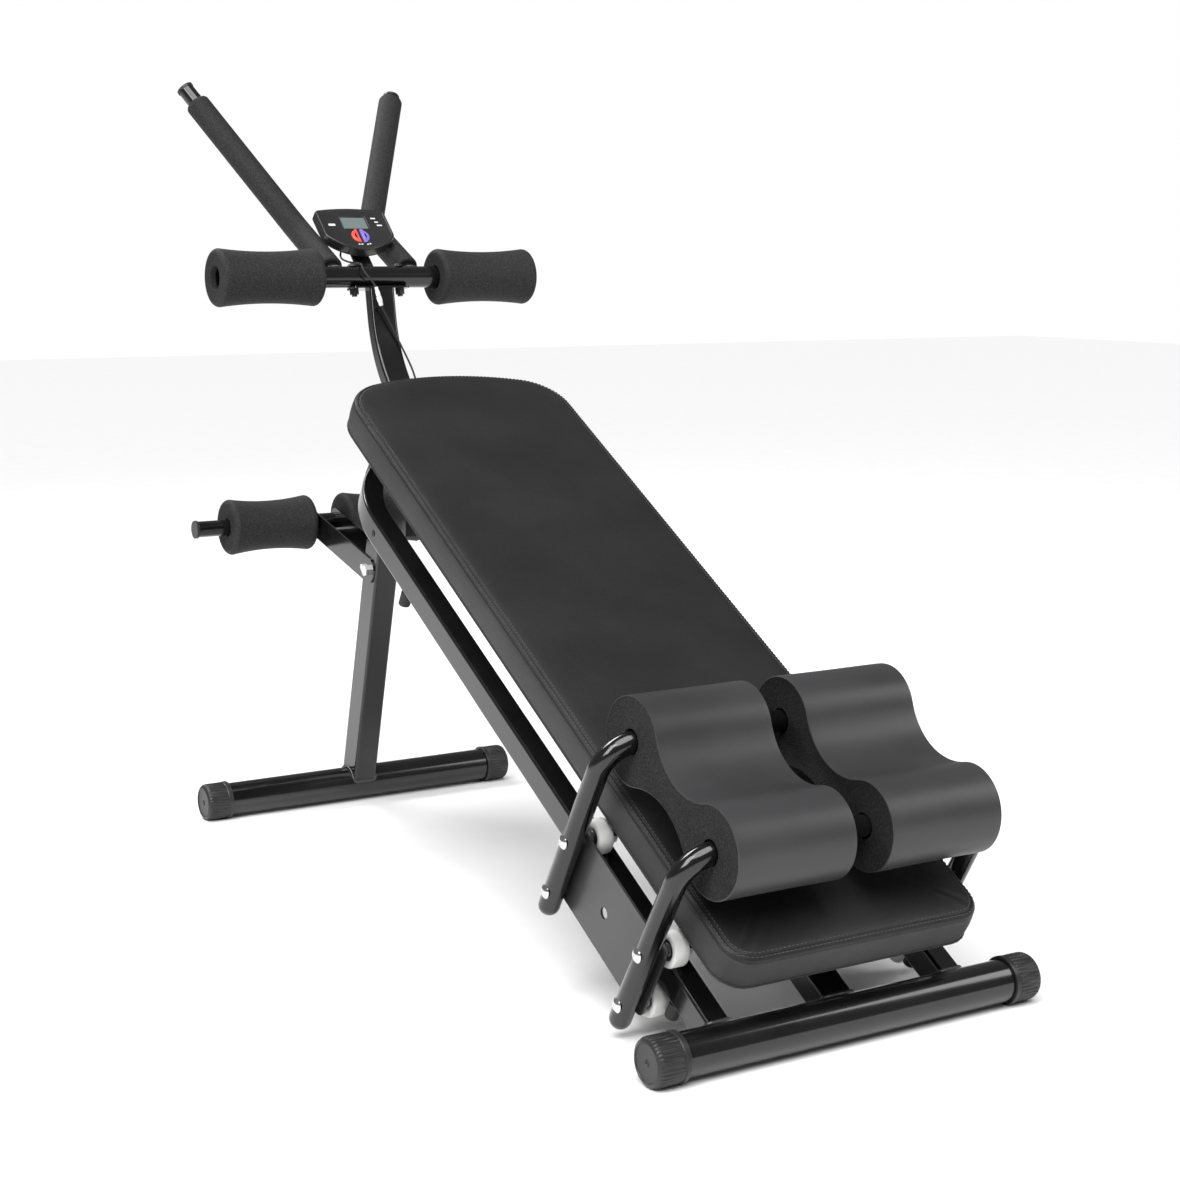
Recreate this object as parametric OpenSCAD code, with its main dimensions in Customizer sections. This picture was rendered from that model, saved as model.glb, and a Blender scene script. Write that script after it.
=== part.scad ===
// Decline sit up bench with a sliding roller carriage, foam rolls and a rep counter.
// Millimetres. +Z is up, +Y runs from the low end to the raised end, X is across the bench.

/* [Frame] */
// Angle of the rails above the floor
slope = 30; // [25:1:35]
// Distance from the middle of the whole length to the front foot axis
origin_y = 711.3; // [700:0.1:760]
// Distance from the front foot axis to the rear foot axis
rear_y = 1239; // [1230:1:1250]
// Height of both foot tubes' axes
foot_z = 27.5; // [27:0.1:27.9]
// Half length of the front foot with its caps
front_half = 267; // [250:1:280]
// Half length of the rear foot with its caps
rear_half = 262; // [250:1:280]
// Distance of each rail's centre line from the middle
rail_x = 163; // [155:1:168]
// Width of a rail
rail_w = 30; // [26:1:32]
// Depth of a rail
rail_h = 36; // [36:1:36]
// Slope length of a rail's straight part
rail_len = 940; // [900:5:960]

/* [Rear leg] */
// Lean of the rear post from upright
post_tilt = 14.25; // [12:0.25:16]
// Distance from the rear foot axis to the fold pivot
pivot_up = 500; // [480:1:520]

/* [Carriage] */
// Slope position of the lower carriage bar at rest
bar_low_s = 115; // [112:1:125]
// Slope distance between the two carriage bars
bar_gap = 178; // [170:1:190]
// Height of the bars' cross runs above the foot axis, square to the slope
bar_n = 178; // [165:1:185]
// Diameter of a carriage roller
roller_d = 42; // [42:1:42]
// Travel of the carriage
travel = 500; // [300:10:500]

/* [Pad] */
// Half width of the back pad at its low end
pad_half_low = 176; // [165:1:180]
// Half width of the back pad at its upper end
pad_half_up = 170; // [160:1:176]
// Height of the pad's underside above the foot axis, square to the slope
pad_n = 59; // [56:1:64]
// Thickness of the pad with its board
pad_t = 43; // [35:1:50]

/* [Knee rolls and console] */
// Half length of the cross tube that holds the knee rolls
cross_half = 250; // [240:1:256]
// Tilt of the console face
console_tilt = 44; // [35:1:55]

/* [Hidden] */
$fn = 48;
fit = 0.05;
seam = 0.05;
wall = 2;
foot_r = 25;
cap_r = 28;
cap_flange_r = 28.6;
cap_len = 40;
cap_end = 5;
tube_round = 4;
rail_n = -7;
rail_top = rail_n + rail_h / 2;
rail_bottom = rail_n - rail_h / 2;
center_w = 40;
center_h = 34;
center_end = 1150;
neck_w = 40;
neck_t = 22;
neck_n = -1;
neck_start = center_end + 2;
neck_straight = 1198;
neck_bend_r = 200;
neck_bend = 50;
neck_top = 42;
bracket_t = 3;
bracket_in = 20;
bracket_out = bracket_in + bracket_t;
neck_bolt_s = [1168, 1190];
post_w = 38;
post_d = 45;
post_len = 565;
pivot_r = 6;
bush_r = 9;
stop_r = 5;
stop_y = -(post_d / 2 + stop_r + 0.4);
stop_z = pivot_up + 50;
ankle_y = 1149.5;
ankle_z = 380;
ankle_tilt = 14.8;
ankle_reach = 207.4;
ankle_h = 39;
axle_r = 12.5;
axle_half = 217;
ankle_roll_in = 28;
ankle_roll_len = 140;
cross_r = 16;
cross_back = 8;
saddle_t = 3;
cross_bolt_x = 38;
knee_roll_in = 98;
knee_roll_len = 160;
handle_x = 63;
handle_r = 12.5;
grip_r = 19;
handle_bend = 60;
handle_knee = [handle_x, 1300, 896];
handle_tip = [177, 1450, 1107];
bar_r = 13;
bar_x = 212;
bar_bend = 42;
bar_foot_n = -70;
bar_high_s = bar_low_s + bar_gap;
plate_t = 3;
plate_in = bar_x - bar_r - plate_t;
roller_in = 168;
roller_w = 20;
roller_out = roller_in + roller_w;
bearing_r = 13;
bolt_r = 4.95;
roller_gap = 0.5;
roller_n = [rail_top + roller_d / 2 + roller_gap, rail_bottom - roller_d / 2 - roller_gap];
roller_s = [bar_low_s, bar_high_s];
wave_r = 52;
wave_in = 25;
wave_out = 181;
pad_board_t = 12;
pad_low_s = 22.5;
pad_up_s = 1145;
pad_up_round = 70;
pad_low_round = 35;
pad_bracket_s = [150, 560, 960];
console_y = 1215;
console_z = 893.5;
console_w = 116;
console_low = -43;
console_high = 45;
console_deep = 22;
console_split = -12.5;
console_skin = 2.5;
lid_scale = 0.68;
button_r = 14.5;
button_y = -14.5;
lens_size = [40, 24];
lens_y = 14.5;
lead_r = 1.5;
connector_in = [-17, 1119, 809];
connector_out = [-10, 1116, 781];
upper_route = [[-22, 1219.4, 867.4], [-23, 1224, 862.2], [-24.5, 1224.5, 855.5], [-26, 1218, 850.5],
    [-27, 1206, 847.5], [-27, 1190, 845], [-27, 1175, 844], [-26, 1155, 843], [-30, 1140, 841],
    [-31, 1130, 832], [-23, 1122, 819], connector_in];
lower_route = [connector_out, [-1, 1116, 765], [7, 1114, 748], [14, 1110, 731], [20, 1102, 713],
    [26, 1090, 690], [28, 1070, 663], [32, 1029, 645], [42, 994, 627], [68, 961, 604], [120, 904, 569],
    [158, 868, 546], [180, 839, 528], [183, 815, 508], [181.5, 788, 484], [180.6, 747, 453],
    [180.9, 680, 415], [180.5, 609, 372.4], [180.8, 540, 333.8], [180.5, 470, 292.5], [180.8, 400, 252.8],
    [180.5, 332, 213], [180.5, 318, 205]];

// ---- frames of reference ----
module place() translate([0, -origin_y, 0]) children();
module slope_frame() place() translate([0, 0, foot_z]) rotate([slope, 0, 0]) children();
module neck_top_frame() slope_frame() translate([0, neck_straight, neck_n + neck_bend_r])
    rotate([neck_bend, 0, 0]) translate([0, neck_top, -neck_bend_r]) rotate([-90, 0, 0])
    children();
module post_frame() place() translate([0, rear_y, foot_z]) rotate([post_tilt, 0, 0]) children();
module ankle_frame() place() translate([0, ankle_y, ankle_z]) rotate([ankle_tilt, 0, 0]) children();
module console_frame() place() translate([0, console_y, console_z]) rotate([console_tilt, 0, 0])
    children();
module both_sides() for (side = [0, 1]) mirror([side, 0, 0]) children();

// ---- vector helpers ----
function unit(v) = v / norm(v);
function along(a, b, d) = a + unit(b - a) * d;
function bend_angle(a, b, c) = acos(unit(b - a) * unit(c - b));
function tangent(a, b, c, r) = r * tan(bend_angle(a, b, c) / 2);
function arc(center, r, from, to, steps) =
    [for (i = [0:steps]) center + r * [cos(from + (to - from) * i / steps), sin(from + (to - from) * i / steps)]];

// Place of the cross tube's axis, worked out from the neck's bend
neck_angle = slope + neck_bend;
neck_bend_y = neck_straight * cos(slope) - (neck_n + neck_bend_r) * sin(slope);
neck_bend_z = foot_z + neck_straight * sin(slope) + (neck_n + neck_bend_r) * cos(slope);
neck_end = [0, neck_bend_y + neck_bend_r * sin(neck_angle) + neck_top * cos(neck_angle),
    neck_bend_z - neck_bend_r * cos(neck_angle) + neck_top * sin(neck_angle)];
cross_axis = neck_end + (saddle_t + cross_r) * [0, cos(neck_angle), sin(neck_angle)]
    + cross_back * [0, sin(neck_angle), -cos(neck_angle)];
handle_root = [handle_x, cross_axis[1], cross_axis[2]];

// ---- shared shapes ----
module rounded(w, h, r) {
    square([w, h - 2 * r], center = true);
    square([w - 2 * r, h], center = true);
    for (x = [-1, 1], y = [-1, 1]) translate([x * (w / 2 - r), y * (h / 2 - r)]) circle(r);
}
module hollow(w, h) difference() {
    rounded(w, h, tube_round);
    rounded(w - 2 * wall, h - 2 * wall, tube_round - wall);
}
// Cylinder along X between two X positions
module rod_x(x0, x1, r) translate([x0, 0, 0]) rotate([0, 90, 0]) cylinder(r = r, h = x1 - x0);
module pipe_x(x0, x1, r, bore) difference() {
    rod_x(x0, x1, r);
    rod_x(x0 - 1, x1 + 1, bore);
}
module hex_x(x0, x1, r) translate([x0, 0, 0]) rotate([0, 90, 0]) cylinder(r = r, h = x1 - x0, $fn = 6);
module dome_z(r, h) rotate_extrude() intersection() {
    translate([0, h - (r * r + h * h) / (2 * h)]) circle((r * r + h * h) / (2 * h), $fn = 96);
    square([r, h]);
}
module run(a, b, r) {
    d = b - a;
    translate(a) rotate([0, acos(d[2] / norm(d)), atan2(d[1], d[0])]) cylinder(r = r, h = norm(d));
}
module turn(a, b, c, bend, r, bore = 0) {
    d1 = unit(b - a);
    inward = unit(unit(c - b) - (unit(c - b) * d1) * d1);
    start = b - d1 * tangent(a, b, c, bend);
    o = start + inward * bend;
    x = -inward;
    z = cross(x, d1);
    multmatrix([[x[0], d1[0], z[0], o[0]], [x[1], d1[1], z[1], o[1]], [x[2], d1[2], z[2], o[2]], [0, 0, 0, 1]])
        rotate_extrude(angle = bend_angle(a, b, c)) translate([bend, 0]) difference() {
            circle(r);
            if (bore > 0) circle(bore);
        }
}
// Round tube along straight runs joined by arcs
module swept(pts, bend, r) {
    last = len(pts) - 1;
    for (i = [0:last - 1]) {
        a = i == 0 ? pts[0] : along(pts[i], pts[i + 1], tangent(pts[i - 1], pts[i], pts[i + 1], bend));
        b = i == last - 1 ? pts[last]
            : along(pts[i + 1], pts[i], tangent(pts[i], pts[i + 1], pts[i + 2], bend));
        run(a, b, r);
    }
    for (i = [1:1:last - 1]) turn(pts[i - 1], pts[i], pts[i + 1], bend, r);
}
module straight_pipe(a, b, r, bore) difference() {
    run(a, b, r);
    run(along(a, b, -1), along(b, a, -1), bore);
}
// Pipe with one bend, its three stretches a hair apart where they are joined
module bent_pipe(a, b, c, bend, r, bore) {
    back = tangent(a, b, c, bend);
    straight_pipe(a, along(b, a, back + seam), r, bore);
    turn(a, b, c, bend, r, bore);
    straight_pipe(along(b, c, back + seam), c, r, bore);
}
// Hex bolt with its nut, through the middle from -grip to +grip
module through_bolt(grip, r, head_r, head_h) {
    rod_x(-grip - 1, grip + head_h, r);
    hex_x(-grip - head_h, -grip, head_r);
    difference() {
        hex_x(grip, grip + head_h - 1, head_r);
        rod_x(grip - 1, grip + head_h, r);
    }
}

// ---- feet ----
module foot_tube(half) color([0.07, 0.07, 0.08])
    pipe_x(-half + cap_end, half - cap_end, foot_r, foot_r - wall);
module foot_cap() difference() {
    union() {
        translate([0, 0, -cap_len]) cylinder(r = cap_r, h = cap_len);
        translate([0, 0, -cap_len]) cylinder(r = cap_flange_r, h = cap_end);
    }
    translate([0, 0, -cap_len - 1]) cylinder(r = foot_r, h = cap_len - cap_end + 1);
    translate([0, 0, -1.5]) cylinder(r = cap_r - 5, h = 2);
}
module foot_caps(half) color([0.05, 0.05, 0.05]) difference() {
    for (side = [-1, 1]) translate([side * half, 0, 0]) rotate([0, side * 90, 0]) foot_cap();
    translate([-half - 1, -cap_r, -foot_z - cap_r]) cube([2 * half + 2, 2 * cap_r, cap_r]);
}
module front_foot_tube() place() translate([0, 0, foot_z]) foot_tube(front_half);
module front_foot_caps() place() translate([0, 0, foot_z]) foot_caps(front_half);
module rear_foot_tube() place() translate([0, rear_y, foot_z]) foot_tube(rear_half);
module rear_foot_caps() place() translate([0, rear_y, foot_z]) foot_caps(rear_half);

// ---- rails and frame ----
module rail() color([0.06, 0.06, 0.07]) slope_frame() difference() {
    translate([0, 0, rail_n]) {
        translate([rail_x, 3, 0]) rotate([-90, 0, 0]) linear_extrude(rail_len - 3) hollow(rail_w, rail_h);
        difference() {
            translate([0, rail_len, 0]) rotate_extrude(angle = 90) translate([rail_x, 0])
                hollow(rail_w, rail_h);
            translate([-1, rail_len, -rail_h]) cube([center_w / 2 + 1, 2 * rail_x, 2 * rail_h]);
        }
    }
    rod_x(0, 2 * rail_x, foot_r);
}
module right_rail() rail();
module left_rail() mirror([1, 0, 0]) rail();
module center_tube() color([0.06, 0.06, 0.07]) slope_frame() difference() {
    translate([0, 3, rail_top - center_h / 2]) rotate([-90, 0, 0]) linear_extrude(center_end - 3)
        hollow(center_w, center_h);
    rod_x(-center_w, center_w, foot_r);
}
module neck() color([0.06, 0.06, 0.07]) slope_frame() {
    difference() {
        translate([0, neck_start, neck_n]) rotate([-90, 0, 0])
            linear_extrude(neck_straight - neck_start) hollow(neck_w, neck_t);
        for (s = neck_bolt_s) translate([0, s, neck_n]) rod_x(-neck_w, neck_w, bolt_r + fit);
    }
    translate([0, neck_straight, neck_n + neck_bend_r]) {
        rotate([0, 90, 0]) rotate_extrude(angle = neck_bend) translate([neck_bend_r, 0])
            hollow(neck_t, neck_w);
        rotate([neck_bend, 0, 0]) translate([0, seam, -neck_bend_r]) rotate([-90, 0, 0])
            linear_extrude(neck_top - seam) hollow(neck_w, neck_t);
    }
}
// Point of the slope frame in the YZ plane measured from the front foot axis
function slope_yz(s, n) = [s * cos(slope) - n * sin(slope), foot_z + s * sin(slope) + n * cos(slope)];
bracket_low = 447;
bracket_front = 1019;
bracket_back = 1150;
bracket_outline = [[bracket_front, bracket_low], [bracket_back, bracket_low], [bracket_back, 530],
    [1092, 600], slope_yz(1204, 8), slope_yz(1120, 8), slope_yz(1120, -23), [bracket_front, 540]];
module rear_bracket() color([0.06, 0.06, 0.07]) difference() {
    place() {
        both_sides() translate([bracket_in, 0, 0]) rotate([90, 0, 90]) linear_extrude(bracket_t)
            polygon(bracket_outline);
        translate([-bracket_in, bracket_front, bracket_low])
            cube([2 * bracket_in, bracket_t, 600 - bracket_low]);
    }
    post_frame() translate([0, 0, pivot_up]) rod_x(-bracket_out - 1, bracket_out + 1, pivot_r + fit);
    post_frame() translate([0, stop_y, stop_z]) rod_x(-bracket_out - 1, bracket_out + 1, stop_r);
    slope_frame() for (s = neck_bolt_s) translate([0, s, neck_n])
        rod_x(-bracket_out - 1, bracket_out + 1, bolt_r + fit);
}
module hinge_bolt() color([0.75, 0.75, 0.77]) post_frame() translate([0, 0, pivot_up])
    through_bolt(bracket_out, pivot_r, 11, 8);
module stop_bolt() color([0.75, 0.75, 0.77]) post_frame() translate([0, stop_y, stop_z])
    through_bolt(bracket_out, stop_r, 9.5, 7);
module frame_bolts() color([0.75, 0.75, 0.77]) {
    slope_frame() for (s = neck_bolt_s) translate([0, s, neck_n])
        through_bolt(bracket_out, bolt_r, 9.5, 7);
    neck_top_frame() for (x = [-1, 1]) translate([x * cross_bolt_x, cross_back, 0]) {
        translate([0, 0, -10]) cylinder(r = 4, h = 2 * cross_r + saddle_t + 10);
        translate([0, 0, 2 * cross_r + saddle_t]) dome_z(8, 5);
        difference() {
            translate([0, 0, -7]) cylinder(r = 7.5, h = 7, $fn = 6);
            translate([0, 0, -8]) cylinder(r = 4, h = 9);
        }
    }
}
module saddle_plate() color([0.06, 0.06, 0.07]) neck_top_frame() difference() {
    translate([0, 4, 0]) linear_extrude(saddle_t) rounded(92, 32, 6);
    for (x = [-1, 1]) translate([x * cross_bolt_x, cross_back, -1]) cylinder(r = 4, h = saddle_t + 2);
}
module cross_tube() color([0.07, 0.07, 0.08]) difference() {
    place() translate(cross_axis) pipe_x(-cross_half, cross_half, cross_r, cross_r - wall);
    neck_top_frame() for (x = [-1, 1]) translate([x * cross_bolt_x, cross_back, -1])
        cylinder(r = 4, h = 2 * cross_r + saddle_t + 2);
}
module rail_stops() color([0.04, 0.04, 0.04]) slope_frame()
    for (s = [bar_low_s - roller_d / 2 - 9, bar_high_s + travel + roller_d / 2 + 9])
        both_sides() translate([rail_x + 7, s, rail_bottom - 20]) cylinder(r = 8, h = 20);

// ---- handles ----
module handle() color([0.07, 0.07, 0.08]) place() difference() {
    bent_pipe(handle_root, handle_knee, handle_tip, handle_bend, handle_r, handle_r - wall);
    translate(cross_axis) rod_x(0, cross_half, cross_r);
}
module grip(bare_top) color([0.10, 0.10, 0.10]) place()
    bent_pipe(along(handle_root, handle_knee, 26), handle_knee, along(handle_tip, handle_knee, bare_top),
        handle_bend, grip_r, handle_r);
module handle_right() handle();
module handle_left() mirror([1, 0, 0]) handle();
module grip_right() grip(4);
module grip_left() mirror([1, 0, 0]) grip(26);
module handle_caps() color([0.04, 0.04, 0.04]) both_sides() place() {
    run(handle_tip, along(handle_tip, handle_knee, -4), handle_r + 1);
    run(along(handle_tip, handle_knee, 12), handle_tip, handle_r - wall);
}

// ---- foam rolls ----
module foam_roll(inner, length, end_r, waist_r, bore) {
    sink = end_r - waist_r;
    r = (length * length / 4 + sink * sink) / (2 * sink);
    color([0.13, 0.13, 0.13]) translate([inner + length / 2, 0, 0]) rotate([0, 90, 0])
        rotate_extrude() difference() {
            translate([bore, -length / 2]) square([end_r - bore, length]);
            translate([waist_r + r, 0]) circle(r, $fn = 360);
        }
}
module knee_roll() place() translate(cross_axis)
    foam_roll(knee_roll_in, knee_roll_len, 43.5, 38, cross_r + fit);
module ankle_roll() ankle_frame() translate([0, ankle_reach, 0])
    foam_roll(ankle_roll_in, ankle_roll_len, 45, 38.5, axle_r + fit);
module knee_roll_right() knee_roll();
module knee_roll_left() mirror([1, 0, 0]) knee_roll();
module ankle_roll_right() ankle_roll();
module ankle_roll_left() mirror([1, 0, 0]) ankle_roll();

// ---- rear leg ----
module rear_post() color([0.06, 0.06, 0.07]) post_frame() difference() {
    linear_extrude(post_len) hollow(post_w, post_d);
    rod_x(-post_w, post_w, foot_r);
    translate([0, 0, pivot_up]) rod_x(-post_w, post_w, bush_r);
    place_ankle_bolts_in_post() rod_x(-post_w, post_w, 1);
}
// Holes for the ankle bolts, found in the post's own frame
module place_ankle_bolts_in_post() {
    up = (ankle_z - foot_z) / cos(post_tilt);
    for (bolt = ankle_bolt_list) translate([0, 0, up]) rotate([ankle_tilt - post_tilt, 0, 0])
        translate([0, bolt[0], 0]) scale(bolt[1]) children();
}
ankle_bolt_list = [[0, 5], [14, 3]];
module post_bush() color([0.6, 0.6, 0.62]) post_frame() translate([0, 0, pivot_up])
    pipe_x(-bracket_in + 0.1, bracket_in - 0.1, bush_r, pivot_r + fit);
module ankle_bracket() color([0.06, 0.06, 0.07]) ankle_frame() {
    both_sides() translate([post_w / 2, 0, 0]) rotate([90, 0, 90]) linear_extrude(bracket_t) difference() {
        union() {
            translate([0, -ankle_h / 2]) square([ankle_reach, ankle_h]);
            circle(ankle_h / 2);
            translate([ankle_reach, 0]) circle(ankle_h / 2);
        }
        for (bolt = ankle_bolt_list) translate([bolt[0], 0]) circle(bolt[1]);
        translate([ankle_reach, 0]) circle(axle_r);
    }
    translate([-post_w / 2, 42, -ankle_h / 2]) cube([post_w, ankle_reach - 42, bracket_t]);
}
module ankle_bolts() color([0.78, 0.78, 0.8]) ankle_frame() for (bolt = ankle_bolt_list)
    translate([0, bolt[0], 0]) through_bolt(post_w / 2 + bracket_t, bolt[1], bolt[1] * 1.8, bolt[1] * 1.3);
module ankle_axle() color([0.07, 0.07, 0.08]) ankle_frame() translate([0, ankle_reach, 0])
    pipe_x(-axle_half, axle_half, axle_r, axle_r - wall);
module ankle_caps() color([0.04, 0.04, 0.04]) ankle_frame() both_sides() translate([0, ankle_reach, 0]) {
    rod_x(axle_half, axle_half + 4, axle_r + 1.5);
    rod_x(axle_half - 12, axle_half, axle_r - wall);
}

// ---- back pad ----
// Outline of the pad in X and slope position, drawn inwards by an inset
module pad_outline(inset) {
    corner = pad_up_s - 83;
    side = pad_half_up - pad_up_round;
    rise = pad_up_s - corner;
    crown = (side * side + rise * rise - pad_up_round * pad_up_round) / (2 * (rise - pad_up_round));
    meet = atan2(corner - (pad_up_s - crown), side);
    low = [pad_half_low - pad_low_round, pad_low_s + pad_low_round];
    right = concat(arc(low, pad_low_round - inset, -90, 0, 8),
        arc([side, corner], pad_up_round - inset, 0, meet, 10),
        arc([0, pad_up_s - crown], crown - inset, meet, 90, 8));
    left = [for (i = [len(right) - 1:-1:0]) [-right[i][0], right[i][1]]];
    polygon(concat(right, left));
}
module pad_cushion() color([0.12, 0.12, 0.12]) slope_frame() difference() {
    translate([0, 0, pad_n]) linear_extrude(pad_t) pad_outline(0);
    translate([0, 0, pad_n - 1]) linear_extrude(pad_board_t + 1) pad_outline(8);
}
module screw_places() slope_frame() for (s = pad_bracket_s, x = [-60, 60]) translate([x, s, pad_n]) children();
module pad_board() color([0.55, 0.42, 0.28]) difference() {
    slope_frame() translate([0, 0, pad_n]) linear_extrude(pad_board_t) pad_outline(8);
    screw_places() translate([0, 0, -1]) cylinder(r = 3, h = 10);
}
module pad_brackets() color([0.06, 0.06, 0.07]) difference() {
    slope_frame() for (s = pad_bracket_s) translate([0, s - 25, 0]) {
        translate([-75, 0, pad_n - bracket_t]) cube([150, 50, bracket_t]);
        both_sides() translate([center_w / 2, 0, -8]) cube([bracket_t, 50, pad_n - bracket_t + 8 - seam]);
    }
    screw_places() translate([0, 0, -5]) cylinder(r = 3, h = 6);
}
module pad_screws() color([0.7, 0.7, 0.72]) screw_places() {
    translate([0, 0, -bracket_t]) cylinder(r = 3, h = bracket_t + 9);
    translate([0, 0, -bracket_t]) mirror([0, 0, 1]) dome_z(6.5, 3.5);
}

// ---- carriage ----
module u_bar(s) color([0.05, 0.05, 0.05]) slope_frame() difference() {
    union() {
        swept(bar_route(s, bar_foot_n), bar_bend, bar_r);
        both_sides() translate([bar_x, s, bar_foot_n]) sphere(bar_r);
    }
    swept(bar_route(s, bar_foot_n), bar_bend, bar_r - wall);
    for (n = roller_n) translate([0, s, n]) rod_x(-bar_x - bar_r - 1, bar_x + bar_r + 1, bolt_r);
}
function bar_route(s, foot_n) = [[-bar_x, s, foot_n], [-bar_x, s, bar_n], [bar_x, s, bar_n], [bar_x, s, foot_n]];
module bar_front() u_bar(bar_low_s);
module bar_back() u_bar(bar_high_s);
module side_plates() color([0.06, 0.06, 0.07]) slope_frame() both_sides()
    translate([plate_in, bar_low_s + bar_gap / 2, -7.5]) rotate([90, 0, 90]) linear_extrude(plate_t) difference() {
        rounded(bar_gap + 32, 101, 10);
        for (s = [-1, 1], n = roller_n) translate([s * bar_gap / 2, n + 7.5]) circle(bolt_r);
        translate([11, -1.5]) circle(7);
    }
module at_bolts() slope_frame() both_sides() for (s = roller_s, n = roller_n) translate([0, s, n]) children();
module carriage_bolts() color([0.8, 0.8, 0.82]) at_bolts() {
    rod_x(roller_in - 14, bar_x + bar_r, bolt_r);
    translate([bar_x + bar_r, 0, 0]) rotate([0, 90, 0]) dome_z(8.5, 3.5);
    difference() {
        hex_x(roller_in - 12, roller_in - 1, 9.8);
        rod_x(roller_in - 13, roller_in, bolt_r);
    }
}
module carriage_spacers() color([0.6, 0.6, 0.62]) at_bolts() {
    pipe_x(roller_out + 0.2, plate_in, 8, bolt_r);
    pipe_x(roller_in - 1, roller_in - 0.2, 8, bolt_r);
}
module roller(side, s, n) slope_frame() translate([0, s, n]) {
    from = side > 0 ? roller_in : -roller_out;
    color([0.93, 0.93, 0.91]) pipe_x(from, from + roller_w, roller_d / 2, bearing_r);
    color([0.2, 0.2, 0.2]) pipe_x(from + 2, from + roller_w - 2, bearing_r - fit, bolt_r + fit);
}
function mirrored(p) = [-p[0], p[1]];
// Section of the two-lobed foam in slope position and height
module wave_section() {
    half = bar_gap / 2;
    dip_top = 16;
    dip_low = 20;
    r_top = (half * half + dip_top * dip_top - wave_r * wave_r) / (2 * (wave_r - dip_top));
    r_low = (half * half + dip_low * dip_low - wave_r * wave_r) / (2 * (wave_r - dip_low));
    t_top = wave_r / (wave_r + r_top) * [half, dip_top + r_top];
    t_low = wave_r / (wave_r + r_low) * [half, -dip_low - r_low];
    inside = 0.98;
    for (s = [-half, half]) translate([s, 0]) circle(wave_r, $fn = 96);
    difference() {
        polygon([[-half, 0], inside * t_top - [half, 0], mirrored(inside * t_top) + [half, 0],
            [half, 0], mirrored(inside * t_low) + [half, 0], inside * t_low - [half, 0]]);
        translate([0, dip_top + r_top]) circle(r_top, $fn = 180);
        translate([0, -dip_low - r_low]) circle(r_low, $fn = 180);
    }
}
module wave_pad() color([0.13, 0.13, 0.13]) slope_frame() difference() {
    translate([wave_in, bar_low_s + bar_gap / 2, bar_n]) rotate([90, 0, 90])
        linear_extrude(wave_out - wave_in) wave_section();
    for (s = roller_s) swept(bar_route(s, 0), bar_bend, bar_r + 0.2);
}
module wave_pad_right() wave_pad();
module wave_pad_left() mirror([1, 0, 0]) wave_pad();
module sensor_magnet() color([0.15, 0.15, 0.15]) slope_frame()
    translate([plate_in - 7, bar_low_s + bar_gap / 2 - 22, -12]) cube([7, 24, 14]);

// ---- console and counter ----
module console_outline(inset) intersection() {
    top_r = 323;
    low_r = 71.4;
    square([console_w - 2 * inset, 2 * console_w], center = true);
    translate([0, console_high - top_r]) circle(top_r - inset, $fn = 360);
    translate([0, console_low + low_r]) circle(low_r - inset, $fn = 180);
}
module half_disc(side, r, gap) intersection() {
    circle(r);
    translate([side > 0 ? gap : -gap - 2 * r, -r]) square(2 * r);
}
module console_housing() color([0.08, 0.08, 0.08]) console_frame() difference() {
    translate([0, 0, console_split]) linear_extrude(1.5 - console_split) console_outline(0);
    linear_extrude(2) console_outline(6);
    translate([0, 0, console_split - 1]) linear_extrude(1 - console_split - console_skin)
        console_outline(console_skin);
    translate([0, lens_y, -console_skin - 1]) linear_extrude(5) square(lens_size, center = true);
    for (side = [-1, 1]) translate([0, button_y, -console_skin - 1]) linear_extrude(5)
        half_disc(side, button_r + 0.3, 0.5);
}
module console_back() color([0.06, 0.06, 0.06]) console_frame() difference() {
    union() {
        translate([0, 0, console_split - console_skin]) linear_extrude(console_skin) console_outline(0);
        translate([0, 0, -console_deep]) linear_extrude(console_deep + console_split)
            scale(lid_scale) console_outline(0);
    }
    translate([0, 0, console_skin - console_deep]) linear_extrude(console_deep)
        scale(lid_scale) console_outline(console_skin);
}
module console_lens() color([0.36, 0.42, 0.42]) console_frame()
    translate([0, lens_y, -console_skin]) linear_extrude(console_skin - 0.4) square(lens_size, center = true);
module button(side) console_frame() translate([0, button_y, 0]) {
    translate([0, 0, -console_skin - 1.5]) linear_extrude(console_skin + 3.5) half_disc(side, button_r, 0.8);
    translate([0, 0, -console_skin - 1.7]) linear_extrude(1.4) half_disc(side, button_r + 1.3, 0.8);
}
module button_red() color([0.85, 0.22, 0.18]) button(-1);
module button_blue() color([0.38, 0.32, 0.75]) button(1);
module console_strap() color([0.06, 0.06, 0.07]) difference() {
    console_frame() translate([-14, -90, -console_deep - 4]) cube([28, 112, 4]);
    place() translate(cross_axis) rod_x(-20, 20, cross_r);
}

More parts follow.
